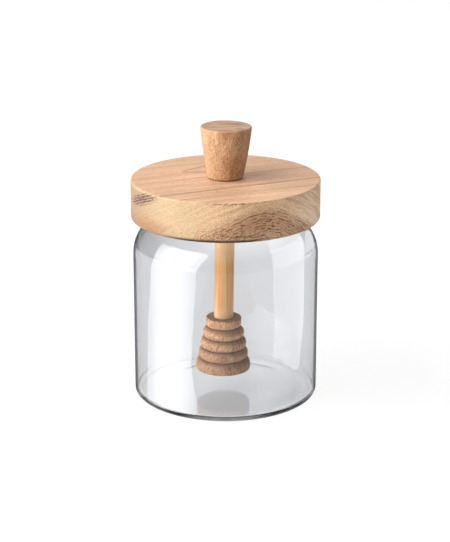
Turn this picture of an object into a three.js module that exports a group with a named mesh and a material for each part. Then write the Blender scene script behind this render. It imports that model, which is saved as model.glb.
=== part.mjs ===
// A honey jar: a clear glass jar, a thick turned wooden lid, and a honey dipper that hangs through
// the lid by its knob. Millimetres, +Z up, origin at the centre of the jar's foot.
import * as THREE from "three";

// Driving dimensions
const jarDiameter = 93.4;
const glassThickness = 1.3;
const baseThickness = 2.0;
const footRadius = 3.0; // outer corner between base and wall
const innerFootReach = 4.0; // how far in from the wall the base starts to curve up
const innerFootRise = 2.0; // how far up the wall that curve ends
const shoulderStart = 74.2; // height where the straight wall turns inwards
const shoulderRadius = 20.0;
const mouthAngle = THREE.MathUtils.degToRad(67.5); // how far the shoulder turns in before the mouth

const lidDiameter = 95.0;
const lidThickness = 20.0;
const lidTopRound = 0.8;
const lidBottomRound = 1.2;
const plugClearance = 0.9; // between the lid's plug and the mouth
const plugDepth = 4.0;
const boreDiameter = 11.5; // the hole that the dipper hangs through

const knobHeight = 26.1;
const knobTopDiameter = 25.6;
const knobFootDiameter = 17.8;
const knobBulge = 0.4; // how far the side swells out of a straight cone
const knobTopRound = 0.8;
const knobFootRound = 0.5;

const stickDiameter = 10.0;
const knobSocketDepth = 14.0;
const headSocketDepth = 16.0;

const headBottom = 11.9; // height of the dipper head above the foot
const headHeight = 27.8;
const ringRadii = [14.0, 12.8, 11.8, 10.6, 9.1]; // from the lowest, widest ring upwards
const lowestRingHeight = 5.9;
const ringPitch = 5.56;
const grooveDepth = 1.7;
const ringWaist = 0.45; // how far up a ring it is widest, as a share of its height
const headEdgeRound = 0.8; // edges of the head's flat underside and flat top

const dipperLean = THREE.MathUtils.degToRad(0.7); // the dipper hangs a little out of true
const leanShare = 0.3; // how far up the knob the point lies that it leans about
const seatGap = 0.3; // between pieces that rest on or fit in each other

// Fineness: sides of the wide and the slim pieces, and steps in half of each arc
const wideSides = 56;
const slimSides = 36;
const jarArcSteps = 4;
const lidArcSteps = 2;
const knobArcSteps = 5;
const headArcSteps = 3;
const samePoint = 1e-6; // points of an outline that are closer than this are one

// Worked out from those
const jarRadius = jarDiameter / 2;
const shoulderCentre = jarRadius - shoulderRadius;
const mouthMiddle = shoulderRadius - glassThickness / 2;
const mouthRadius = shoulderCentre + mouthMiddle * Math.cos(mouthAngle);
const rimCentreHeight = shoulderStart + mouthMiddle * Math.sin(mouthAngle);
const lidBottom = rimCentreHeight + glassThickness / 2 + seatGap;
const lidTop = lidBottom + lidThickness;
const knobBottom = lidTop + seatGap;
const leanHeight = knobBottom + knobHeight * leanShare;
const headTop = headBottom + headHeight;
const socketRadius = stickDiameter / 2 + seatGap;

// Colours and finishes
const glass = new THREE.MeshStandardMaterial({
  color: 0xe3e6e8,
  roughness: 0.03,
  metalness: 0,
  transparent: true,
  opacity: 0.35,
});
const lidWood = new THREE.MeshStandardMaterial({ color: 0xd9ae84, roughness: 0.55, metalness: 0 });
const knobWood = new THREE.MeshStandardMaterial({ color: 0xcf9f72, roughness: 0.6, metalness: 0 });
const headWood = new THREE.MeshStandardMaterial({ color: 0xb5876a, roughness: 0.65, metalness: 0 });
const bamboo = new THREE.MeshStandardMaterial({ color: 0xe6b678, roughness: 0.5, metalness: 0 });

// A solid turned about the Z axis: the outline's x is a radius and its y a height. Where two of its arcs
// meet, they share one point.
function turned(outline, arcSteps, sides) {
  const points = outline.getPoints(arcSteps);
  const profile = points.filter((point, i) => i === 0 || point.distanceTo(points[i - 1]) > samePoint);
  return new THREE.LatheGeometry(profile, sides).rotateX(Math.PI / 2);
}

function piece(name, geometry, material) {
  const mesh = new THREE.Mesh(geometry, material);
  mesh.name = name;
  return mesh;
}

// The jar: flat base, straight wall, and a shoulder that rolls in to a round-edged mouth.
function makeJar() {
  const innerRadius = jarRadius - glassThickness;
  const outline = new THREE.Path();
  outline.moveTo(0, 0);
  outline.lineTo(jarRadius - footRadius, 0);
  outline.absarc(jarRadius - footRadius, footRadius, footRadius, -Math.PI / 2, 0, false);
  outline.lineTo(jarRadius, shoulderStart);
  outline.absarc(shoulderCentre, shoulderStart, shoulderRadius, 0, mouthAngle, false);
  outline.absarc(mouthRadius, rimCentreHeight, glassThickness / 2, mouthAngle, mouthAngle + Math.PI, false);
  outline.absarc(shoulderCentre, shoulderStart, shoulderRadius - glassThickness, mouthAngle, 0, true);
  outline.lineTo(innerRadius, baseThickness + innerFootRise);
  outline.absellipse(
    innerRadius - innerFootReach,
    baseThickness + innerFootRise,
    innerFootReach,
    innerFootRise,
    0,
    -Math.PI / 2,
    true,
    0,
  );
  outline.lineTo(0, baseThickness);
  return piece("jar", turned(outline, jarArcSteps, wideSides), glass);
}

// The lid: a thick disc with softened edges, bored for the dipper, with a shallow plug that centres it
// in the mouth.
function makeLid() {
  const lidRadius = lidDiameter / 2;
  const boreRadius = boreDiameter / 2;
  const bottomArc = lidRadius - lidBottomRound;
  const topArc = lidRadius - lidTopRound;
  const plugRadius = mouthRadius - glassThickness / 2 - plugClearance;
  const plugBottom = lidBottom - plugDepth;
  const outline = new THREE.Path();
  outline.moveTo(boreRadius, plugBottom);
  outline.lineTo(plugRadius, plugBottom);
  outline.lineTo(plugRadius, lidBottom);
  outline.lineTo(bottomArc, lidBottom);
  outline.absarc(bottomArc, lidBottom + lidBottomRound, lidBottomRound, -Math.PI / 2, 0, false);
  outline.lineTo(lidRadius, lidTop - lidTopRound);
  outline.absarc(topArc, lidTop - lidTopRound, lidTopRound, 0, Math.PI / 2, false);
  outline.lineTo(boreRadius, lidTop);
  outline.lineTo(boreRadius, plugBottom);
  return piece("lid", turned(outline, lidArcSteps, wideSides), lidWood);
}

// The knob: an upside-down cone with a slightly swelling side, socketed for the stick.
function makeKnob() {
  const footRadiusOfKnob = knobFootDiameter / 2;
  const topRadius = knobTopDiameter / 2;
  const sideStart = knobBottom + knobFootRound;
  const knobTop = knobBottom + knobHeight;
  const sideEnd = knobTop - knobTopRound;
  const outline = new THREE.Path();
  outline.moveTo(0, knobBottom + knobSocketDepth);
  outline.lineTo(socketRadius, knobBottom + knobSocketDepth);
  outline.lineTo(socketRadius, knobBottom);
  outline.lineTo(footRadiusOfKnob - knobFootRound, knobBottom);
  outline.lineTo(footRadiusOfKnob, sideStart);
  outline.quadraticCurveTo(
    (footRadiusOfKnob + topRadius) / 2 + 2 * knobBulge,
    (sideStart + sideEnd) / 2,
    topRadius,
    sideEnd,
  );
  outline.absarc(topRadius - knobTopRound, sideEnd, knobTopRound, 0, Math.PI / 2, false);
  outline.lineTo(0, knobTop);
  return piece("knob", turned(outline, knobArcSteps, slimSides), knobWood);
}

// The stick: a round bamboo rod from the knob's socket down into the head's socket.
function makeStick() {
  const stickTop = knobBottom + knobSocketDepth - seatGap;
  const stickBottom = headTop - headSocketDepth + seatGap;
  const rod = new THREE.CylinderGeometry(
    stickDiameter / 2,
    stickDiameter / 2,
    stickTop - stickBottom,
    slimSides,
  );
  rod.rotateX(Math.PI / 2);
  rod.translate(0, 0, (stickTop + stickBottom) / 2);
  return piece("stick", rod, bamboo);
}

// The dipper head: rings that narrow upwards. Each swells out of the groove below it to its waist and rounds
// off into the groove above it; the lowest ring has a flat underside and the top ring a flat top.
function makeHead() {
  const topRing = ringRadii.length - 1;
  const ringBottom = (i) => (i === 0 ? headBottom : headBottom + lowestRingHeight + (i - 1) * ringPitch);
  const outline = new THREE.Path();
  outline.moveTo(0, headBottom);
  outline.lineTo(ringRadii[0] - headEdgeRound, headBottom);
  ringRadii.forEach((radius, i) => {
    const low = ringBottom(i);
    const high = i === topRing ? headTop : ringBottom(i + 1);
    const rise = (high - low) * ringWaist;
    const [lowInset, lowRound] = i === 0 ? [headEdgeRound, headEdgeRound] : [grooveDepth, rise];
    const highInset = i === topRing ? headEdgeRound : radius - ringRadii[i + 1] + grooveDepth;
    const highRound = i === topRing ? headEdgeRound : high - low - rise;
    outline.absellipse(radius - lowInset, low + lowRound, lowInset, lowRound, -Math.PI / 2, 0, false, 0);
    outline.absellipse(radius - highInset, high - highRound, highInset, highRound, 0, Math.PI / 2, false, 0);
  });
  outline.lineTo(socketRadius, headTop);
  outline.lineTo(socketRadius, headTop - headSocketDepth);
  outline.lineTo(0, headTop - headSocketDepth);
  return piece("dipper_head", turned(outline, headArcSteps, slimSides), headWood);
}

// The dipper's pieces are drawn upright and lean together about a point inside the knob.
function makeDipper() {
  const upright = new THREE.Group();
  upright.add(makeKnob(), makeStick(), makeHead());
  upright.position.z = -leanHeight;
  const leaning = new THREE.Group();
  leaning.add(upright);
  leaning.rotation.y = dipperLean;
  leaning.position.z = leanHeight;
  return leaning;
}

const honeyJar = new THREE.Group();
honeyJar.add(makeJar(), makeLid(), makeDipper());

export default honeyJar;
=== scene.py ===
import math

import bpy
import numpy as np
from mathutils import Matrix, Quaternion, Vector


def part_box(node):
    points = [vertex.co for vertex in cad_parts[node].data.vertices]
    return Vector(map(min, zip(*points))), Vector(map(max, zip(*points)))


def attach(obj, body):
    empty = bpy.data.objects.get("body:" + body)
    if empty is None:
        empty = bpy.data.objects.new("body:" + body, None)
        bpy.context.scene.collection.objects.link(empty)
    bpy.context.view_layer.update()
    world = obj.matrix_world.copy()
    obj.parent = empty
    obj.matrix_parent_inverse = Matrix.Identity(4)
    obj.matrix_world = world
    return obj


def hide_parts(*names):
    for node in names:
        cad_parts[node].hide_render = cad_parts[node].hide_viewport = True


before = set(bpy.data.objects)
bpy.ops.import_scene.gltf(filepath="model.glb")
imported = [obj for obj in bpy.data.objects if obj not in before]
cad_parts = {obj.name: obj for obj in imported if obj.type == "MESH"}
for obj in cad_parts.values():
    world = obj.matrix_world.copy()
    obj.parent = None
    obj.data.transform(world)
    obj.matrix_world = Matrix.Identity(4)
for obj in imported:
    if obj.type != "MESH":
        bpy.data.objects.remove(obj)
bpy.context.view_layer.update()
print("frame: honey jar loaded,", len(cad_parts), "nodes")

mm = 1000  # millimetres in a metre: shapes are in metres, patterns in millimetres
black = (0.0, 0.0, 0.0, 1.0)
white = (1.0, 1.0, 1.0, 1.0)


# Small tools for outlines and meshes

def oval(centre, reach, start, stop, steps):  # centre + (reach0 cos a, reach1 sin a), a in degrees
    a = np.radians(np.linspace(start, stop, steps + 1))
    return np.column_stack((centre[0] + reach[0] * np.cos(a), centre[1] + reach[1] * np.sin(a)))


def arc(centre, radius, start, stop, steps):  # an oval with the same reach both ways
    return oval(centre, (radius, radius), start, stop, steps)


def straight(start, stop, steps):  # start + t (stop - start), t = (1 - cos) / 2, crowded at both ends
    t = (1 - np.cos(np.pi * np.linspace(0, 1, steps + 1))) / 2
    return np.array(start) + t[:, None] * (np.array(stop) - np.array(start))


def outline(*stretches):  # the stretches in a row, without the points that two of them share
    points = np.vstack(stretches)
    apart = np.linalg.norm(np.diff(points, axis=0), axis=1) > 1e-8
    return points[np.r_[True, apart]]


def turnedGrid(profile, sides, ripple=None):
    # point (i, j) is at radius r[i] (times a ripple of the angle), height z[i] and angle 2 pi j / sides;
    # an end of the profile on the axis becomes one pole, and a profile that meets itself becomes a ring
    ringShaped = np.allclose(profile[0], profile[-1])
    firstPole = not ringShaped and profile[0, 0] < 1e-9
    lastPole = not ringShaped and profile[-1, 0] < 1e-9
    rows = profile[int(firstPole): len(profile) - int(lastPole or ringShaped)]
    angle = 2 * np.pi * np.arange(sides) / sides
    swell = np.ones(sides) if ripple is None else ripple(angle)
    x = rows[:, :1] * swell * np.cos(angle)
    y = rows[:, :1] * swell * np.sin(angle)
    z = np.repeat(rows[:, 1:], sides, axis=1)
    points = np.stack((x, y, z), axis=-1).reshape(-1, 3)
    index = np.arange(len(points)).reshape(len(rows), sides)
    low = index if ringShaped else index[:-1]
    high = np.roll(index, -1, axis=0) if ringShaped else index[1:]
    nextLow, nextHigh = np.roll(low, -1, axis=1), np.roll(high, -1, axis=1)
    faces = np.stack((low, nextLow, nextHigh, high), axis=-1).reshape(-1, 4).tolist()
    for row, pole, height in ((index[0], firstPole, profile[0, 1]), (index[-1], lastPole, profile[-1, 1])):
        if pole:
            tip = np.full(sides, len(points))
            points = np.vstack((points, (0, 0, height)))
            after = np.roll(row, -1)
            fan = (tip, after, row) if row is index[0] else (row, after, tip)
            faces += np.column_stack(fan).tolist()
    return points, faces


def addPiece(name, points, faces, material, node):  # a smooth mesh in place of the CAD node
    mesh = bpy.data.meshes.new(name)
    mesh.from_pydata(points.tolist(), [], faces)
    mesh.shade_smooth()
    mesh.materials.append(material)
    piece = bpy.data.objects.new(name, mesh)
    bpy.context.scene.collection.objects.link(piece)
    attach(piece, "root")
    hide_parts(node)
    print("piece:", name, len(faces), "faces")
    return piece


# Shader maths

def binary(operation):  # the Math node of an operator, and of the same operator with its sides swapped
    def forward(self, other):
        return self.make("Math", {"operation": operation}, {0: self, 1: other})

    def swapped(self, other):
        return self.make("Math", {"operation": operation}, {0: other, 1: self})

    return forward, swapped


class Flow:  # one socket of a material: arithmetic on it adds Math nodes, make() adds any other node
    def __init__(self, tree, socket=None):
        self.tree = tree
        self.socket = socket

    def make(self, kind, settings=(), values=(), out=0):
        node = self.tree.nodes.new("ShaderNode" + kind)
        for key, value in dict(settings).items():
            setattr(node, key, value)
        for key, value in dict(values).items():
            if isinstance(value, Flow):
                self.tree.links.new(value.socket, node.inputs[key])
            else:
                node.inputs[key].default_value = value
        return Flow(self.tree, node.outputs[out])

    __add__, __radd__ = binary("ADD")
    __sub__, __rsub__ = binary("SUBTRACT")
    __mul__, __rmul__ = binary("MULTIPLY")
    __truediv__, __rtruediv__ = binary("DIVIDE")
    __pow__, __rpow__ = binary("POWER")

    def math(self, operation):
        return self.make("Math", {"operation": operation}, {0: self})

    def soft(self, low, high):  # 0 below low, 1 above high, smooth between them
        limits = {"Value": self, "From Min": low, "From Max": high}
        return self.make("MapRange", {"interpolation_type": "SMOOTHSTEP"}, limits)

    def between(self, first, second):  # the number first where this is 0, second where it is 1
        return self * (second - first) + first

    def split(self):
        return [self.make("SeparateXYZ", values={0: self}, out=axis) for axis in range(3)]

    def blend(self, first, second):  # the colour first where this is 0, second where it is 1
        return self.make("Mix", {"data_type": "RGBA"}, {0: self, 6: first, 7: second}, out=2)


def noise(grain, lengths, detail=2.0, rough=0.5):  # cloudy 0 to 1 pattern, its length in mm along each way
    steps = {k: way / length for k, (way, length) in enumerate(zip(grain, lengths))}
    spot = grain[0].make("CombineXYZ", values=steps)
    return spot.make("TexNoise", values={"Vector": spot, "Scale": 1.0, "Detail": detail, "Roughness": rough})


def hump(grain, centre, lengths):  # exp(-d), d the squared distance from centre counted in those lengths
    squares = [((way - middle) / length) ** 2 for way, middle, length in zip(grain, centre, lengths)]
    return math.e ** (sum(squares[1:], squares[0]) * -1)


def shade(red, green, blue):
    # a screen colour of 0 to 255 as light: ((c + 0.055) / 1.055) ** 2.4, or c / 12.92 where it is dark
    c = np.array((red, green, blue)) / 255
    light = np.where(c > 0.04045, ((c + 0.055) / 1.055) ** 2.4, c / 12.92)
    return (*light.tolist(), 1.0)


def shades(tints):  # each named screen colour as light
    return {name: shade(*tint) for name, tint in tints.items()}


def newMaterial(name):  # an empty material: a Flow to build on, and the function that finishes it
    material = bpy.data.materials.new(name)
    material.use_nodes = True
    tree = material.node_tree
    tree.nodes.clear()
    start = Flow(tree)

    def finish(values, clear=None, inside=None):  # clear is where light passes straight on, and its tint
        surface = start.make("BsdfPrincipled", values=values)
        if clear is not None:
            where, tint = clear
            straightOn = start.make("BsdfTransparent", values={"Color": tint})
            surface = start.make("MixShader", values={0: where, 1: surface, 2: straightOn})
        end = tree.nodes.new("ShaderNodeOutputMaterial")
        tree.links.new(surface.socket, end.inputs["Surface"])
        if inside is not None:
            tree.links.new(inside.socket, end.inputs["Volume"])
        return material

    return start, finish


def inMillimetres(start, turn=(0, 0, 0)):  # object coordinates in mm, turned back by those degrees
    place = start.make("TexCoord", out="Object")
    radians = tuple(math.radians(a) for a in turn)
    values = {"Vector": place, "Rotation": radians, "Scale": (1 / mm, 1 / mm, 1 / mm)}
    return place.make("Mapping", {"vector_type": "TEXTURE"}, values).split()


def relief(height, depth):  # a Bump node of that depth in metres
    return height.make("Bump", values={"Strength": 0.6, "Distance": depth, "Height": height})


# The glass jar

jar = {
    "wall": 0.0013,
    "base": 0.0020,
    "footRound": 0.0030,
    "innerFoot": (0.0040, 0.0020),  # reach and rise of the curve inside the foot
    "grooves": ((0.0423, 0.0005, 0.00016, -1), (0.0325, 0.0004, 0.00010, 1)),  # radius, width, depth, side
    "pushUp": 0.0006,
    "standRadius": 0.0400,
    "seamLevel": 0.0799,
    "seamHeight": 0.00008,
    "seamWidth": 0.00045,
    "shoulderStart": 0.0742,
    "shoulderRound": 0.0200,
    "mouthTurn": 67.5,
    "sides": 320,
    "ior": 1.47,
    "absorb": 12.0,
    "shadowClear": (0.99, 0.99, 0.99, 1.0),
    "tint": (0.836, 0.843, 0.858, 1.0),
    # painted light: the next two make the shoulder just below the lid paler
    "underLidLightTint": (0.98, 0.98, 0.985, 1.0),  # of the shoulder just below the lid
    "underLidLightLevel": (84, 90),
    # painted dark edge: the tint where the wall is seen edge-on
    "edgeTint": (0.07, 0.07, 0.075, 1.0),
    "edgeTurn": (0.74, 0.80),  # how far edge-on the wall starts to darken, and is dark
    "footTurn": (0.76, 0.86),
    "footLevel": (3, 6),
    # painted shade in the glass: the shoulder's left, a line along the seam, a spot at the left edge, two
    # arcs in the base
    "shoulderShade": 0.23,
    "seamShade": (0.26, 0.30),  # at the left and at the right
    "leftEdgeShade": {"strength": 0.6, "level": 81.5, "height": 3.6, "side": (-45.6, -41.5)},
    "rearBaseShade": {"strength": 0.70, "radius": 31.9, "width": 1.3, "skew": 0.07, "side": (16, 27)},
    "frontBaseShade": {"strength": 0.92, "radius": 42.2, "width": 1.2, "side": (-41.5, -39.5)},
}


def jarOutline(size, radius):
    # base, foot arc, wall, shoulder arc, a half circle round the mouth, and the same back inside; then the
    # base is pushed up by pushUp (1 - (r / standRadius)^2)^2, and a fine seam swells out of the shoulder
    inner = radius - size["wall"]
    middle = (radius - size["shoulderRound"], size["shoulderStart"])
    turn = size["mouthTurn"]
    lip = size["shoulderRound"] - size["wall"] / 2
    lipCentre = arc(middle, lip, turn, turn, 0)[0]
    footCentre = (radius - size["footRound"], size["footRound"])
    reach = size["innerFoot"]
    innerCentre = (inner - reach[0], size["base"] + reach[1])
    points = outline(
        straight((0, 0), (footCentre[0], 0), 24),
        arc(footCentre, size["footRound"], -90, 0, 14),
        straight((radius, footCentre[1]), (radius, middle[1]), 16),
        arc(middle, size["shoulderRound"], 0, turn, 64),
        arc(lipCentre, size["wall"] / 2, turn, turn + 180, 12),
        arc(middle, size["shoulderRound"] - size["wall"], turn, 0, 32),
        straight((inner, middle[1]), (inner, innerCentre[1]), 12),
        oval(innerCentre, reach, 0, -90, 48),
        straight((innerCentre[0], size["base"]), (0, size["base"]), 60),
    )
    r, z = points[:, 0], points[:, 1]
    dome = np.clip(1 - (r / size["standRadius"]) ** 2, 0, None) ** 2
    isOuter = np.hypot(r - middle[0], z - middle[1]) > lip
    seam = np.exp(-((z - size["seamLevel"]) / size["seamWidth"]) ** 2) * isOuter
    low = z < size["base"] + reach[1]
    return np.column_stack((r + size["seamHeight"] * seam, z + size["pushUp"] * dome * low))


def grooved(points, size):
    # mould marks in the base: each lowers it by depth exp(-((r - radius) / width)^2) sin^6 of the angle, at
    # the front where its side is -1 and at the rear where it is 1
    r = np.hypot(points[:, 0], points[:, 1]) + 1e-9
    sine = points[:, 1] / r
    z = points[:, 2].copy()
    inside = (z > size["base"] * 0.9) & (z < size["base"] + size["innerFoot"][1])
    for radius, width, depth, side in size["grooves"]:
        z -= depth * np.exp(-((r - radius) / width) ** 2) * np.clip(sine * side, 0, 1) ** 6 * inside
    return np.column_stack((points[:, :2], z))


def glassShade(x, y, z, reach):
    # painted shade in the glass: darker at the shoulder's left above the seam, a dark line along the moulded
    # seam and a dark spot at the left edge as humps of height, and two dark arcs in the base as humps of the
    # reach from the axis
    seam = jar["seamLevel"] * mm
    # painted shade: the shoulder's left above the seam is darker
    paintedShoulderShade = z.soft(seam - 0.2, seam + 0.3) * (1 - x.soft(-38, -16)) * jar["shoulderShade"]
    leftShade, rightShade = jar["seamShade"]
    seamShade = (1 - x.soft(-30, -4)) * leftShade + x.soft(36, 41) * rightShade
    edgeShadeShape, rear, front = jar["leftEdgeShade"], jar["rearBaseShade"], jar["frontBaseShade"]
    # painted shade: a dark spot at the left edge of the shoulder
    leftEdgeShade = hump((z,), (edgeShadeShape["level"],), (edgeShadeShape["height"],)) * (1 - x.soft(*edgeShadeShape["side"]))
    # painted shade: two dark arcs in the base, at the rear and at the front
    rearBaseShade = hump((reach - x * rear["skew"],), (rear["radius"],), (rear["width"],)) * y.soft(*rear["side"])
    frontBaseShade = hump((reach,), (front["radius"],), (front["width"],)) * (1 - y.soft(*front["side"]))
    baseShade = rearBaseShade * rear["strength"] + frontBaseShade * front["strength"]
    innerBase = z.soft(1.5, 1.8) * (1 - z.soft(3.5, 4.5))
    seamAndEdgeShade = hump((z,), (seam,), (0.35,)) * seamShade + leftEdgeShade * edgeShadeShape["strength"]
    return paintedShoulderShade + seamAndEdgeShade + innerBase * baseShade


def glassEdge(start, z, reach, radius):
    # 1 where the glass is seen edge-on: all over the foot, and above it on the outer face alone, where the
    # distance from the ring that the shoulder's arc is drawn about reaches past the middle of the wall
    rise = z - jar["shoulderStart"] * mm
    above = (rise + rise.math("ABSOLUTE")) * 0.5
    outer, wall = jar["shoulderRound"] * mm, jar["wall"] * mm
    fromCircle = ((reach - (radius * mm - outer)) ** 2 + above ** 2) ** 0.5
    outside = fromCircle.soft(outer - wall * 0.6, outer - wall * 0.4)
    facing = start.make("LayerWeight", values={"Blend": 0.5}, out="Facing")
    isWall = z.soft(*jar["footLevel"])
    return facing.soft(*jar["edgeTurn"]) * outside * isWall + facing.soft(*jar["footTurn"]) * (1 - isWall)


def clearGlass(radius):
    # tinted glass with slow waves and a faint film, darkened by painted shade, paler just below the lid by
    # painted light, and painted dark where it is seen edge-on; shadows and bounced light pass straight
    # through it
    start, finish = newMaterial("clearGlass")
    x, y, z = inMillimetres(start)
    waves = noise((x, y, z), (16, 16, 40), 1.0)
    film = noise((x, y, z), (9, 9, 22), 4.0, 0.6)
    reach = (x * x + y * y) ** 0.5
    # painted light: the shoulder just below the lid is paler
    underLidLight = z.soft(*jar["underLidLightLevel"]) * x.soft(-17, -6) * (1 - x.soft(22, 34))
    colour = glassShade(x, y, z, reach).blend(underLidLight.blend(jar["tint"], jar["underLidLightTint"]), black)
    # painted shade: a dark edge where the glass is seen edge-on
    colour = glassEdge(start, z, reach, radius).blend(colour, jar["edgeTint"])
    shadowRay = start.make("LightPath", out="Is Shadow Ray")
    diffuseRay = start.make("LightPath", out="Is Diffuse Ray")
    absorb = start.make("VolumeAbsorption", values={"Color": black, "Density": jar["absorb"]})
    values = {
        "Base Color": colour,
        "Roughness": film.soft(0.55, 0.85) * 0.02,
        "IOR": jar["ior"],
        "Transmission Weight": 1.0,
        "Normal": relief(waves, 0.00004),
    }
    return finish(values, ((shadowRay + diffuseRay).soft(0, 1), jar["shadowClear"]), absorb)


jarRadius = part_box("jar")[1].x
jarPoints, jarFaces = turnedGrid(jarOutline(jar, jarRadius), jar["sides"])
addPiece("glassJar", grooved(jarPoints, jar), jarFaces, clearGlass(jarRadius), "jar")


# The wooden lid

lid = {
    "thickness": 0.020,
    "topRound": 0.0008,
    "bottomRound": 0.0012,
    "plugRadius": 0.0324,
    "plugRound": 0.0006,
    "boreRadius": 0.00575,
    "sides": 256,
    "grainTurn": 22,
    "ringTilt": 45,
    "topLines": (  # start, slope and strength
        (-18.8, 0.042, 0.85), (4.0, 0.0, 0.5), (-30.0, 0.03, 0.4), (31.0, -0.05, 0.35),
    ),
    "archTip": (-16.8, 18.2),
    "archSlope": 0.47,
    "arches": {"foot": (17.8, -44.0), "slope": 0.58, "flat": 30.0, "heart": (11.5, 19.5)},
    "rowGap": 1.5,
    "darkSpot": ((12.3, -45.9, 101.0), (7, 20, 3.5)),  # centre and lengths, and so for the next three
    "lowSpeckle": ((-4, -47, 95.2), (14, 20, 3.2)),
    "darkRow": ((8, -47, 96.2), (9, 25, 0.7)),
    "redCorner": ((-36, -31, 96.3), (12, 16, 3.5)),
    "stain": {"around": -49.0, "height": 108.6, "turn": 19, "lengths": (12.0, 2.6), "hatchGap": 1.3},
    "topTints": {
        # the rear tint is painted shade
        "dark": (214, 170, 134), "light": (234, 191, 153), "streak": (190, 142, 106), "line": (150, 104, 74),
        "arch": (156, 110, 80), "rear": (180, 138, 104), "left": (190, 142, 104), "pore": (170, 122, 90),
    },
    "sapTints": {
        "edge": (172, 150, 120), "left": (204, 176, 135), "middle": (240, 200, 156), "right": (242, 210, 178),
        "band": (190, 144, 104), "streak": (166, 118, 82), "corner": (172, 110, 64),
        "lowLeft": (166, 130, 94), "lowStreak": (150, 92, 52), "highRight": (150, 108, 76),
    },
    "heartTints": {
        "wood": (197, 149, 110), "paintedLowLight": (208, 178, 152), "spot": (104, 64, 38), "dash": (92, 56, 34),
        "speck": (118, 76, 48), "row": (92, 56, 36),
    },
    "markTints": {
        # rimLight is a painted highlight and under is painted shade
        "stain": (84, 50, 50), "rimLight": (244, 218, 176), "rimDark": (128, 80, 50), "under": (58, 38, 28),
    },
}


def lidOutline(size, radius, low, high):
    # up the plug, out under the overhang, up the side and back over the top to the bore, with round edges
    under = high - size["thickness"]
    lowArc, highArc = radius - size["bottomRound"], radius - size["topRound"]
    plug, plugArc = size["plugRadius"], size["plugRadius"] - size["plugRound"]
    bore = size["boreRadius"]
    return outline(
        straight((bore, low), (plugArc, low), 10),
        arc((plugArc, low + size["plugRound"]), size["plugRound"], -90, 0, 5),
        straight((plug, low + size["plugRound"]), (plug, under), 5),
        straight((plug, under), (lowArc, under), 8),
        arc((lowArc, under + size["bottomRound"]), size["bottomRound"], -90, 0, 8),
        straight((radius, under + size["bottomRound"]), (radius, high - size["topRound"]), 14),
        arc((highArc, high - size["topRound"]), size["topRound"], 0, 90, 8),
        straight((highArc, high), (bore, high), 20),
        straight((bore, high), (bore, low), 10),
    )


def lidGrain(u, v, z):
    # the rings are sheets at z cos + v sin, with u along the fibres and v across them, that sway with slow
    # noise; bands, streaks, pores and specks are noise stretched along those sheets
    c, s = math.cos(math.radians(lid["ringTilt"])), math.sin(math.radians(lid["ringTilt"]))
    sway = noise((u, v, z), (55, 22, 22), 1.5) - 0.5
    grain = (u, v * c - z * s, z * c + v * s + sway * 4.0)
    bands = noise(grain, (80, 30, 3.0), 2.0, 0.6)
    streaks = noise(grain, (45, 10, 0.9), 3.0, 0.6)
    pores = noise(grain, (2.4, 0.9, 0.55), 1.0, 0.5)
    specks = noise(grain, (0.9, 0.45, 0.45), 0.0)
    return sway, bands, streaks, pores, specks


def lidTopColour(place, u, v, sway, bands, streaks, pores):
    # pale bands, finer streaks, dark lines at v = start + slope u, and two nested arches
    # |v - tip| = slope (u - tip); painted shade darkens it towards the back right, and it is a little darker at the left
    x, y, _ = place
    tint = shades(lid["topTints"])
    colour = bands.soft(0.3, 0.7).blend(tint["dark"], tint["light"])
    colour = (streaks.soft(0.48, 0.72) * 0.55).blend(colour, tint["streak"])
    broken = streaks.soft(0.25, 0.5)
    for begin, slope, strength in lid["topLines"]:
        line = hump((v - u * slope + sway * 2.0,), (begin,), (0.9,)) * broken
        colour = (line * strength).blend(colour, tint["line"])
    tipU, tipV = lid["archTip"]
    arch = (v - tipV + sway * 2.0).math("ABSOLUTE") - (u - tipU) * lid["archSlope"]
    near = u.soft(tipU - 1, tipU + 2) * (1 - u.soft(tipU + 16, tipU + 30))
    arches = (hump((arch,), (0,), (0.9,)) * 0.7 + hump((arch,), (-3.2,), (0.8,)) * 0.35) * near
    colour = arches.blend(colour, tint["arch"])
    # painted shade: darker towards the back right
    colour = ((x * 0.6 + y * 0.8).soft(-15, 45) * 0.45).blend(colour, tint["rear"])
    colour = ((1 - x.soft(-40, -5)) * 0.14).blend(colour, tint["left"])
    return (pores.soft(0.54, 0.68) * 0.4).blend(colour, tint["pore"])


def lidSapwood(place, low, bands, streaks):
    # four tones from left to right under bands and streaks, a reddish corner, a darker stretch with brown
    # streaks low at the left, and another high at the right
    x, _, z = place
    tint = shades(lid["sapTints"])
    colour = x.soft(-48, -24).blend(tint["edge"], tint["left"])
    colour = x.soft(-24, -2).blend(colour, tint["middle"])
    colour = x.soft(18, 46).blend(colour, tint["right"])
    colour = (bands.soft(0.44, 0.60) * (0.2 + x.soft(-20, 10) * 0.3)).blend(colour, tint["band"])
    flanks = x.soft(22, 40) * 0.4 + (1 - x.soft(-46, -34)) * 0.35
    colour = (streaks.soft(0.5, 0.7) * (0.2 + flanks)).blend(colour, tint["streak"])
    corner = hump(place, *lid["redCorner"]) * (0.2 + streaks.soft(0.42, 0.6) * 0.6)
    colour = corner.blend(colour, tint["corner"])
    lowLeft = (1 - z.soft(low + 2, low + 9)) * (1 - x.soft(-36, -22))
    colour = (lowLeft * 0.85).blend(colour, tint["lowLeft"])
    lowStreaks = noise(place, (12, 12, 0.6), 1.0).soft(0.5, 0.62) * lowLeft
    colour = (lowStreaks * 0.45).blend(colour, tint["lowStreak"])
    highRight = z.soft(low + 11, low + 17) * x.soft(4, 18) * (1 - x.soft(36, 44))
    return (highRight * 0.18).blend(colour, tint["highRight"])


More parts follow.
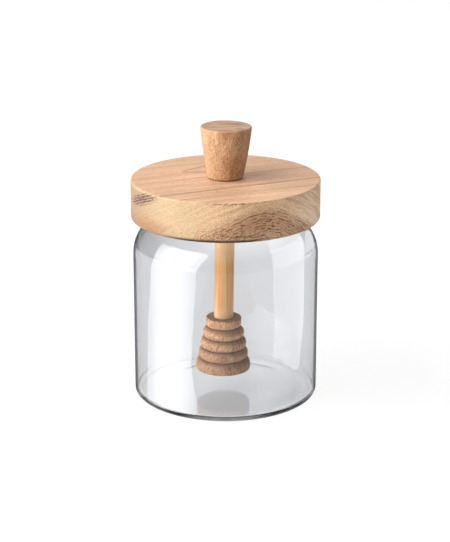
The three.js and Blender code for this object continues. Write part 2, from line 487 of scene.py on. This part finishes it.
def lidHeartwood(colour, place, low, arch, pores, longPores, specks):
    # below the arches' levels: darker wood with pores that crowd in rows, sin(2 pi arch / gap), then painted
    # light low at the right, fine specks all over, a dark spot, and one dark row low at the front
    x, _, z = place
    tint = shades(lid["heartTints"])
    lowSpeckle = hump(place, *lid["lowSpeckle"])
    heart = (1 - arch.soft(*lid["arches"]["heart"])) * (1 - lowSpeckle * 0.4)
    colour = (heart * 0.85).blend(colour, tint["wood"])
    # painted light: paler and greyer low at the right
    paintedLowLight = (1 - z.soft(low + 2, low + 7)) * x.soft(12, 22) * (1 - x.soft(30, 38))
    colour = (paintedLowLight * 0.4).blend(colour, tint["paintedLowLight"])
    colour = (hump(place, *lid["darkSpot"]) * 0.22).blend(colour, tint["spot"])
    rows = (arch * (2 * math.pi / lid["rowGap"])).math("SINE") * 0.06
    dashes = (pores + rows).soft(0.54, 0.62) * 0.3 + (longPores + rows).soft(0.57, 0.62) * 0.8
    colour = (dashes * (0.06 + heart * 0.9)).blend(colour, tint["dash"])
    speckled = 0.28 + heart * 0.12 + lowSpeckle * 0.5 + (1 - x.soft(-44, -30)) * 0.14
    colour = (specks.soft(0.50, 0.60) * speckled).blend(colour, tint["speck"])
    return (hump(place, *lid["darkRow"]) * pores.soft(0.38, 0.52) * 0.8).blend(colour, tint["row"])


def lidMarks(colour, place, low, high, radius, pores, longPores, specks):
    # a stain at the left, a slanting hump hatched by a sine across it; a painted highlight and a dark line
    # along the upper edge, and painted shade along the lower edge
    x, y, z = place
    tint, stain = shades(lid["markTints"]), lid["stain"]
    c, s = math.cos(math.radians(stain["turn"])), math.sin(math.radians(stain["turn"]))
    around = x.make("Math", {"operation": "ARCTAN2"}, {0: x, 1: y * -1}) * radius - stain["around"]
    upward = z - stain["height"]
    along, across = around * c + upward * s, upward * c - around * s
    hatch = ((across + pores * 1.3) * (2 * math.pi / stain["hatchGap"])).math("SINE").soft(-0.5, 0.4)
    spot = hump((along, across), (0, 0), stain["lengths"]) * (0.3 + hatch * 0.7) * specks.soft(0.2, 0.5)
    colour = (spot * 1.7).soft(0.1, 0.8).blend(colour, tint["stain"])
    rim = z.soft(high - 1.4, high - 0.7)
    # painted highlight along the upper edge at the left
    colour = (rim * (1 - x.soft(-30, -10)) * 0.2).blend(colour, tint["rimLight"])
    rimDark = rim * hump((x,), (4,), (14,)) * longPores.soft(0.42, 0.52)
    colour = (rimDark * 0.9).blend(colour, tint["rimDark"])
    # painted shade along the lower edge, which faces down into the jar
    under = (1 - z.soft(low + 0.9, low + 2.0)) * x.soft(-38, -18) * (1 - x.soft(8, 26))
    return (under * 0.95).blend(colour, tint["under"])


def lidSideColour(place, low, high, radius, specks):
    # the rings cut the side in arches of level z + sqrt((slope d)^2 + flat), d the distance from the arches'
    # foot point; heartwood lies below them and sapwood above
    x, y, z = place
    arches = lid["arches"]
    apart = (x - arches["foot"][0]) ** 2 + (y - arches["foot"][1]) ** 2
    sway = noise(place, (20, 20, 10), 1.0) - 0.5
    bow = (apart * arches["slope"] ** 2 + arches["flat"]) ** 0.5 - arches["flat"] ** 0.5
    arch = z - low + bow + sway * 3.0
    grain = (x, y, arch)
    bands = noise(grain, (45, 45, 2.0), 2.0, 0.6)
    streaks = noise(grain, (22, 22, 0.7), 2.0, 0.6)
    pores = noise(grain, (1.5, 1.5, 0.42), 1.0)
    longPores = noise(grain, (3.4, 3.4, 0.5), 0.5)
    colour = lidSapwood(place, low, bands, streaks)
    colour = lidHeartwood(colour, place, low, arch, pores, longPores, specks)
    return lidMarks(colour, place, low, high, radius, pores, longPores, specks)


def lidWood(radius, low, high):
    # the top's colour above the upper edge and the side's below it; streaks stand proud and pores are sunk
    start, finish = newMaterial("lidWood")
    place = inMillimetres(start)
    u, v, z = inMillimetres(start, (0, 0, lid["grainTurn"]))
    sway, bands, streaks, pores, specks = lidGrain(u, v, z)
    topColour = lidTopColour(place, u, v, sway, bands, streaks, pores)
    sideColour = lidSideColour(place, low, high, radius, specks)
    isTop = z.soft(high - 0.5, high - 0.1)
    height = streaks * 0.4 - pores.soft(0.5, 0.7)
    return finish({
        "Base Color": isTop.blend(sideColour, topColour),
        "Roughness": 0.5 + bands * 0.14 + pores * 0.1,
        "Specular IOR Level": 0.35,
        "Normal": relief(height, 0.00006),
    })


lidLow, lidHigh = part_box("lid")
lidUnder = lidHigh.z - lid["thickness"]
lidPoints, lidFaces = turnedGrid(lidOutline(lid, lidHigh.x, lidLow.z, lidHigh.z), lid["sides"])
lidFinish = lidWood(lidHigh.x * mm, lidUnder * mm, lidHigh.z * mm)
woodLid = addPiece("woodLid", lidPoints, lidFaces, lidFinish, "lid")
woodLid.visible_glossy = False  # its mirror image is kept out of the glass


# The dipper: knob, stick and head lean together, by as much as the stick's box is wider than the stick

stickLow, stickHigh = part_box("stick")
stickRadius = stickHigh.y
stickTopX, stickBottomX = stickHigh.x - stickRadius, stickLow.x + stickRadius
leanAngle = math.atan2(stickTopX - stickBottomX, stickHigh.z - stickLow.z)
leanHeight = stickHigh.z - stickTopX / math.tan(leanAngle)
socketRadius = stickRadius + 0.00002  # just clear of the stick


def lean(points):  # turned about the Y axis at the lean height: x' = x cos + z sin, z' = z cos - x sin
    x, y, z = points[:, 0], points[:, 1], points[:, 2] - leanHeight
    c, s = math.cos(leanAngle), math.sin(leanAngle)
    return np.column_stack((x * c + z * s, y, leanHeight + z * c - x * s))


knob = {
    "height": 0.0261,
    "footRadius": 0.0089,
    "footRound": 0.0005,
    "topRound": 0.0008,
    "swell": 0.0004,
    "seatGap": 0.0003,
    "socketDepth": 0.0140,
    "sides": 160,
    "tints": {
        "light": (229, 184, 140), "dark": (192, 138, 97), "pore": (104, 62, 38), "end": (196, 160, 130),
    },
    "pores": ((1.3, 0.44, 0.44), 0.52),  # lengths and strength
    # painted light on the knob's left side
    "paintedLeftShading": (0.3, (250, 216, 172)),  # strength and tint
    # painted shade on the knob's right side
    "paintedRightShade": (0.36, (0, 11)),  # strength, and from where to where along X
    # painted shade on upward slopes and low down, none on the knob
    "slopeShade": 0.0,
    "lowShade": 0.0,
    # painted contact shade at the knob's foot
    "footShade": 0.75,
}


def knobOutline(size, topRadius, low, socket):
    # a blind socket, the foot, a side that swells by 4 t (1 - t) out of a straight cone, and a rounded top
    high = low + size["height"]
    sideLow, sideHigh = low + size["footRound"], high - size["topRound"]
    t = np.linspace(0, 1, 29)
    side = np.column_stack((
        size["footRadius"] + t * (topRadius - size["footRadius"]) + size["swell"] * 4 * t * (1 - t),
        sideLow + t * (sideHigh - sideLow),
    ))
    footArc, topArc = size["footRadius"] - size["footRound"], topRadius - size["topRound"]
    ceiling = low + size["socketDepth"]
    return outline(
        straight((0, ceiling), (socket, ceiling), 6),
        straight((socket, ceiling), (socket, low), 8),
        straight((socket, low), (footArc, low), 5),
        arc((footArc, sideLow), size["footRound"], -90, 0, 5),
        side,
        arc((topArc, sideHigh), size["topRound"], 0, 90, 10),
        straight((topArc, high), (0, high), 12),
    )


def uprightWood(name, size, low):
    # fibres run up the piece; rings are the curves y + 0.018 x x that sway with slow noise; faces that look
    # up or down cut across the fibres and are darker, on the head also as painted shade; the left side gets
    # painted light or painted shade, and painted shade darkens the right side, upward slopes, the lower part
    # and the foot
    tint = shades(size["tints"])
    poreLengths, poreStrength = size["pores"]
    start, finish = newMaterial(name)
    x, y, z = inMillimetres(start)
    normal = start.make("NewGeometry", out="Normal").split()
    across, upward = normal[0], normal[2]
    sway = noise((z, x, y), (30, 9, 9), 1.5) - 0.5
    grain = (z, x + sway * 2.0, y + x * x * 0.018 + sway * 5.0)
    bands = noise(grain, (30, 12, 1.6), 2.0, 0.6)
    fibres = noise(grain, (5.0, 0.7, 0.7), 3.0, 0.6)
    pores = noise(grain, poreLengths, 2.0, 0.7)
    endRings = noise(grain, (30, 10, 1.9), 1.0)
    isEnd = upward.math("ABSOLUTE").soft(0.8, 0.97)
    colour = bands.soft(0.3, 0.7).blend(tint["dark"], tint["light"])
    leftStrength, leftTint = size["paintedLeftShading"]
    # painted light or painted shade on the left side, as its tint is paler or darker
    colour = ((1 - x.soft(-11, 1)) * leftStrength).blend(colour, shade(*leftTint))
    colour = (fibres.soft(0.42, 0.68) * 0.6).blend(colour, tint["dark"])
    colour = (pores.soft(0.48, 0.60) * poreStrength).blend(colour, tint["pore"])
    darkness, reach = size["paintedRightShade"]
    # painted shade on the right side, in the pore tint
    colour = (x.soft(*reach) * darkness).blend(colour, tint["pore"])
    # painted shade on upward slopes, in the pore tint, for the shade in the grooves
    slope = (across * 0.4 + upward).soft(0.0, 0.95) * (1 - isEnd) * size["slopeShade"]
    colour = slope.blend(colour, tint["pore"])
    # painted shade: darker low down
    colour = ((1 - z.soft(low, low + 24)) * size["lowShade"]).blend(colour, tint["pore"])
    # painted contact shade at the foot, in the pore tint
    colour = ((1 - z.soft(low + 0.2, low + 0.8)) * size["footShade"]).blend(colour, tint["pore"])
    endDark = endRings.soft(0.45, 0.65) * 0.5 + pores.soft(0.5, 0.6) * 0.15
    # on the head the dark end tint is also painted shade, on its top face and underside
    colour = (isEnd * 0.9).blend(colour, endDark.blend(tint["end"], tint["pore"]))
    return finish({
        "Base Color": colour,
        "Roughness": 0.58 + bands * 0.16,
        "Specular IOR Level": 0.3,
        "Normal": relief(fibres * 0.4 - pores.soft(0.46, 0.64), 0.00010),
    })


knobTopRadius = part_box("knob")[1].y
knobLow = lidHigh.z + knob["seatGap"]
knobPoints, knobFaces = turnedGrid(knobOutline(knob, knobTopRadius, knobLow, socketRadius), knob["sides"])
knobWood = uprightWood("knobWood", knob, knobLow * mm)
addPiece("woodKnob", lean(knobPoints), knobFaces, knobWood, "knob")


stick = {
    "sides": 120,
    "flutes": (23, 37, 61),
    "fluteDepth": 0.004,
    "endRound": 0.0004,
    "paleFoot": 8,  # mm above the head
    # painted light under the lid, between these heights in mm
    "topLightLevel": (64, 82),
    "tints": {
        "dark": (248, 172, 100), "light": (255, 206, 142), "left": (208, 168, 116), "thread": (200, 132, 80),
        "foot": (255, 222, 174), "top": (255, 214, 160), "fleck": (150, 92, 52),
    },
}


def stickRipple(angle):  # 1 - a small sum of waves round the rod, which makes it as uneven as split bamboo
    waves = [np.sin(count * angle + 1.7 * count) / count ** 0.5 for count in stick["flutes"]]
    return 1 - stick["fluteDepth"] * (1 + np.sum(waves, axis=0)) / 2


def stickOutline(size, radius, low, high):  # a straight rod with a quarter circle at the edge of each end
    roundOff = size["endRound"]
    inner = radius - roundOff
    return outline(
        straight((0, low), (inner, low), 4),
        arc((inner, low + roundOff), roundOff, -90, 0, 4),
        straight((radius, low + roundOff), (radius, high - roundOff), 40),
        arc((inner, high - roundOff), roundOff, 0, 90, 4),
        straight((inner, high), (0, high), 4),
    )


def bambooFibres(low):
    # strands, threads and flecks are noise drawn out along the rod; it is paler just above the head, with
    # painted light under the lid and painted shade at its left
    start, finish = newMaterial("bambooFibres")
    tint = shades(stick["tints"])
    x, y, z = inMillimetres(start)
    grain = (z, x, y)
    strands = noise(grain, (90, 1.1, 1.1), 2.0, 0.6)
    threads = noise(grain, (45, 0.3, 0.3), 2.0, 0.6)
    flecks = noise(grain, (7, 0.3, 0.3), 2.0, 0.5)
    colour = strands.soft(0.38, 0.62).blend(tint["dark"], tint["light"])
    # painted shade at the left
    colour = ((1 - x.soft(-7, -3)) * 0.5).blend(colour, tint["left"])
    colour = (threads.soft(0.44, 0.62) * 0.7).blend(colour, tint["thread"])
    colour = ((1 - z.soft(low, low + stick["paleFoot"])) * 0.5).blend(colour, tint["foot"])
    # painted light under the lid, where the lid's shadow falls
    colour = (z.soft(*stick["topLightLevel"]) * 0.8).blend(colour, tint["top"])
    colour = (flecks.soft(0.66, 0.76) * 0.6).blend(colour, tint["fleck"])
    return finish({
        "Base Color": colour,
        "Roughness": 0.42 + threads * 0.2,
        "Specular IOR Level": 0.4,
        "Normal": relief(threads - flecks.soft(0.6, 0.76) * 0.5, 0.00008),
    })


stickProfile = stickOutline(stick, stickRadius, stickLow.z, stickHigh.z)
stickPoints, stickFaces = turnedGrid(stickProfile, stick["sides"], stickRipple)
stickWood = bambooFibres(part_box("dipper_head")[1].z * mm)
addPiece("bambooStick", lean(stickPoints), stickFaces, stickWood, "stick")


head = {
    "low": 0.0119,
    "height": 0.0278,
    "ringRadii": (0.0140, 0.0128, 0.0118, 0.0106, 0.0091),
    "lowestRing": 0.0059,
    "ringPitch": 0.00556,
    "grooveDepth": 0.0017,
    "edgeRound": 0.0008,
    "waist": 0.45,
    "socketDepth": 0.0160,
    "sides": 160,
    "tints": {
        "light": (255, 216, 170), "dark": (232, 170, 126), "pore": (70, 44, 30), "end": (138, 106, 86),
    },
    "pores": ((2.4, 0.42, 0.42), 0.62),
    # painted shade on the head's left side
    "paintedLeftShading": (0.4, (212, 142, 96)),
    # painted shade on the head's right side
    "paintedRightShade": (0.16, (1, 12)),
    # painted shade in the grooves and low down
    "slopeShade": 0.58,
    "lowShade": 0.28,
    # painted shade at the head's foot
    "footShade": 0.2,
}


def headOutline(size, socket):
    # each ring: a quarter oval out of the groove below, and a taller one into the groove above; the lowest
    # ring has a flat underside instead, and the top ring a flat top
    low, high = size["low"], size["low"] + size["height"]
    radii = size["ringRadii"]
    edge = size["edgeRound"]
    grooves = [low + size["lowestRing"] + size["ringPitch"] * k for k in range(len(radii) - 1)]
    floors = [low, *grooves, high]
    stretches = [straight((0, low), (radii[0] - edge, low), 10)]
    for k, radius in enumerate(radii):
        isLow, isTop = k == 0, k == len(radii) - 1
        rise = (floors[k + 1] - floors[k]) * size["waist"]
        inset = edge if isTop else radius - radii[k + 1] + size["grooveDepth"]
        fall = edge if isTop else floors[k + 1] - floors[k] - rise
        below = (edge, edge) if isLow else (size["grooveDepth"], rise)
        stretches += [
            oval((radius - below[0], floors[k] + below[1]), below, -90, 0, 10),
            straight((radius, floors[k] + below[1]), (radius, floors[k + 1] - fall), 5),
            oval((radius - inset, floors[k + 1] - fall), (inset, fall), 0, 90, 14),
        ]
    stretches += [
        straight((radii[-1] - edge, high), (socket, high), 5),
        straight((socket, high), (socket, high - size["socketDepth"]), 8),
        straight((socket, high - size["socketDepth"]), (0, high - size["socketDepth"]), 5),
    ]
    return outline(*stretches)


headPoints, headFaces = turnedGrid(headOutline(head, socketRadius), head["sides"])
headWood = uprightWood("headWood", head, head["low"] * mm)
addPiece("dipperHead", lean(headPoints), headFaces, headWood, "dipper_head")


# Floor, light and camera

studio = {
    "floorSize": 30.0,
    "floorDrop": 0.0004,
    "floorShade": (0.25, 0.25, 0.25, 1.0),
    "floorGlow": 0.76,
    # painted shadow under the jar, deeper at its right and towards its front right
    "shadeUnder": (0.96, 0.73),  # share of the glow under the jar, at its left and at its right
    "shadeSpan": (-0.012, 0.019),
    "shadeReach": (0.030, 0.047),
    "cornerShade": 0.2,
    "cornerSpan": (0.022, 0.044),
    "worldDim": 0.10,
    "worldBright": 0.68,
    "windowBright": 1.5,
    "rearWindow": (0.93, 0.99),
    "skyStart": (0.35, 0.85),
    "softbox": {
        "place": (-1.619, -0.511, 0.8), "aim": (0, 0, 0.8), "size": (2.4, 5.2), "glow": 3.7, "roll": 5,
    },
}

boards = {  # each stands to one side (-1 left), turned from the front; corners are metres along it and up
    "away": 1.7,
    "middle": 0.1,
    "fadeSpan": (0.1, 1.7),
    "farSpan": (-0.1, 1.2),
    "footSpan": (-0.98, -0.88),
    "footSlant": 0.06,
    "leftBoard": {
        "side": -1, "turn": 72.5, "glow": 7.8, "fade": 0.55, "farDim": 0.5,
        "corners": (
            (1.70, -1.80), (1.66, -0.94), (1.46, -0.75), (1.13, -0.60), (0.86, -0.05), (0.86, 0.35),
            (0.95, 0.80), (1.27, 1.60), (0.20, 1.85), (-1.35, 3.00), (-1.80, 2.40), (-1.40, 0.80),
            (-1.22, -0.62), (-1.12, -0.64), (-0.97, -0.71), (-1.10, -0.78), (-1.42, -0.90), (-1.60, -1.80),
        ),
    },
    "rightBoard": {
        "side": 1, "turn": 90, "glow": 2.6, "fade": 0.85, "farDim": 0.0,
        "corners": (
            (-0.98, -0.70), (-0.58, -0.64), (-0.10, -0.62), (0.45, -0.645), (0.74, -0.61), (0.76, -0.57),
            (0.63, -0.20), (0.85, 0.30), (1.60, 0.92), (3.00, 2.50), (0.30, 2.85), (-0.45, 1.85),
            (-0.90, 0.85), (-1.05, 0.00), (-0.98, -0.58), (-0.86, -0.62), (-0.87, -0.64),
        ),
    },
    "rightWing": {
        "side": 1, "turn": 90, "glow": 0.95, "fade": 1.0, "farDim": 0.0,
        "corners": (
            (1.50, 0.60), (0.90, 0.28), (0.70, -0.15), (1.00, -0.17), (1.80, -0.29), (2.65, -0.11),
            (4.10, -0.13), (2.55, 0.72),
        ),
    },
}


def stageSheet(name, corners, material):  # a flat sheet of the stage, one face with those corners
    mesh = bpy.data.meshes.new(name)
    mesh.from_pydata(corners, [], [range(len(corners))])
    mesh.materials.append(material)
    sheet = bpy.data.objects.new(name, mesh)
    bpy.context.scene.collection.objects.link(sheet)
    return sheet


def paleFloor():
    # a square that glows evenly, with a painted shadow within the jar's reach that falls along 0.8 x - 0.6 y
    half, low = studio["floorSize"] / 2, -studio["floorDrop"]
    corners = [(-half, -half, low), (half, -half, low), (half, half, low), (-half, half, low)]
    start, finish = newMaterial("paleFloor")
    x, y, _ = start.make("TexCoord", out="Object").split()
    away = ((x * x + y * y) ** 0.5).soft(*studio["shadeReach"])
    toRight = x * 0.8 - y * 0.6
    # painted shadow under the jar
    under = toRight.soft(*studio["shadeSpan"]).between(*studio["shadeUnder"])
    under = under * toRight.soft(*studio["cornerSpan"]).between(1.0, studio["cornerShade"])
    material = finish({
        "Base Color": studio["floorShade"],
        "Roughness": 0.9,
        "Specular IOR Level": 0.1,
        "Emission Color": away.blend(under, white),
        "Emission Strength": studio["floorGlow"],
    })
    floor = stageSheet("paleFloor", corners, material)
    floor.visible_glossy = False  # its mirror image is kept out of the glass


def softLight(name, place, aim, size, glow, roll):  # an area light whose face has that glow
    lamp = bpy.data.lights.new(name, "AREA")
    lamp.shape = "RECTANGLE"
    lamp.size, lamp.size_y = size
    lamp.energy = glow * math.pi * size[0] * size[1]
    holder = bpy.data.objects.new(name, lamp)
    bpy.context.scene.collection.objects.link(holder)
    holder.location = place
    turn = (Vector(aim) - Vector(place)).to_track_quat("-Z", "Y")
    holder.rotation_euler = (turn @ Quaternion((0, 0, 1), math.radians(roll))).to_euler()
    return holder


def reflector(name, side, turn, corners, glow, fade, farDim):
    # a glowing board for the glass to mirror, upright beside the jar: corner (h, v) is at height v and at
    # away (side sin, -cos) + h (side cos, sin) of the turn; it dims to `fade` towards both upright edges, by
    # another farDim towards the far one, and to nothing at its foot
    c, s = math.cos(math.radians(turn)), math.sin(math.radians(turn))
    away = boards["away"]
    points = [(side * (away * s + h * c), h * s - away * c, v) for h, v in corners]
    start, finish = newMaterial(name)
    x, y, z = start.make("TexCoord", out="Object").split()
    along = x * (side * c) + y * s
    light = ((along - boards["middle"]) ** 2).soft(*boards["fadeSpan"]).between(1.0, fade)
    light = light * (z + along * boards["footSlant"]).soft(*boards["footSpan"])
    light = light * along.soft(*boards["farSpan"]).between(1.0, 1.0 - farDim)
    board = stageSheet(name, points, finish({
        "Base Color": black,
        "Emission Color": light,
        "Emission Strength": glow,
    }))
    board.visible_camera = board.visible_diffuse = board.visible_shadow = False


def studioLight():
    # the world glows from dim at the level to bright above and below, with a bright upright window behind; a
    # softbox at the left lights the wood, and the boards are there for the glass alone
    world = bpy.data.worlds.new("studio")
    world.use_nodes = True
    tree = world.node_tree
    tree.nodes.clear()
    start = Flow(tree)
    x, y, z = start.make("TexCoord", out="Generated").split()
    facing = y / (x * x + y * y + 0.0001) ** 0.5
    window = facing.soft(*studio["rearWindow"]) * z.soft(0.0, 0.1)
    sky = z.soft(*studio["skyStart"])
    below = (z * -1).soft(0.5, 0.7)
    glow = (sky + below * 0.6).soft(0, 1).between(studio["worldDim"], studio["worldBright"])
    light = start.make("Background", values={"Color": window * (studio["windowBright"] - glow) + glow})
    tree.links.new(light.socket, tree.nodes.new("ShaderNodeOutputWorld").inputs["Surface"])
    bpy.context.scene.world = world
    softbox = softLight("leftSoftbox", **studio["softbox"])
    softbox.visible_glossy = softbox.visible_transmission = False
    for name in ("leftBoard", "rightBoard", "rightWing"):
        reflector(name, **boards[name])


camera = {
    "elevation": 18.038,
    "distance": 0.88168,
    "aim": (-0.0003, 0.0, 0.06385),
    "focalPixels": 1733.66,
    "frameHeight": 542,
    "sensor": 36.0,
}


def photoCamera():  # stands back from the aim by distance cos and up by distance sin of the elevation
    lens = bpy.data.cameras.new("photoCamera")
    lens.sensor_fit = "VERTICAL"
    lens.sensor_height = camera["sensor"]
    lens.lens = camera["focalPixels"] / camera["frameHeight"] * camera["sensor"]
    lens.clip_start, lens.clip_end = 0.01, 50
    holder = bpy.data.objects.new("photoCamera", lens)
    bpy.context.scene.collection.objects.link(holder)
    up = math.radians(camera["elevation"])
    back, rise = camera["distance"] * math.cos(up), camera["distance"] * math.sin(up)
    aim = camera["aim"]
    holder.location = (aim[0], aim[1] - back, aim[2] + rise)
    holder.rotation_euler = (math.pi / 2 - up, 0, 0)
    bpy.context.scene.camera = holder


paleFloor()
studioLight()
photoCamera()
scene = bpy.context.scene
scene.view_settings.view_transform = "Standard"
scene.cycles.max_bounces = 24  # enough for light to cross every wall of the jar
scene.cycles.transmission_bounces = 24
scene.cycles.glossy_bounces = 24
scene.cycles.use_denoising = True
print("stage: floor, lights and camera set")
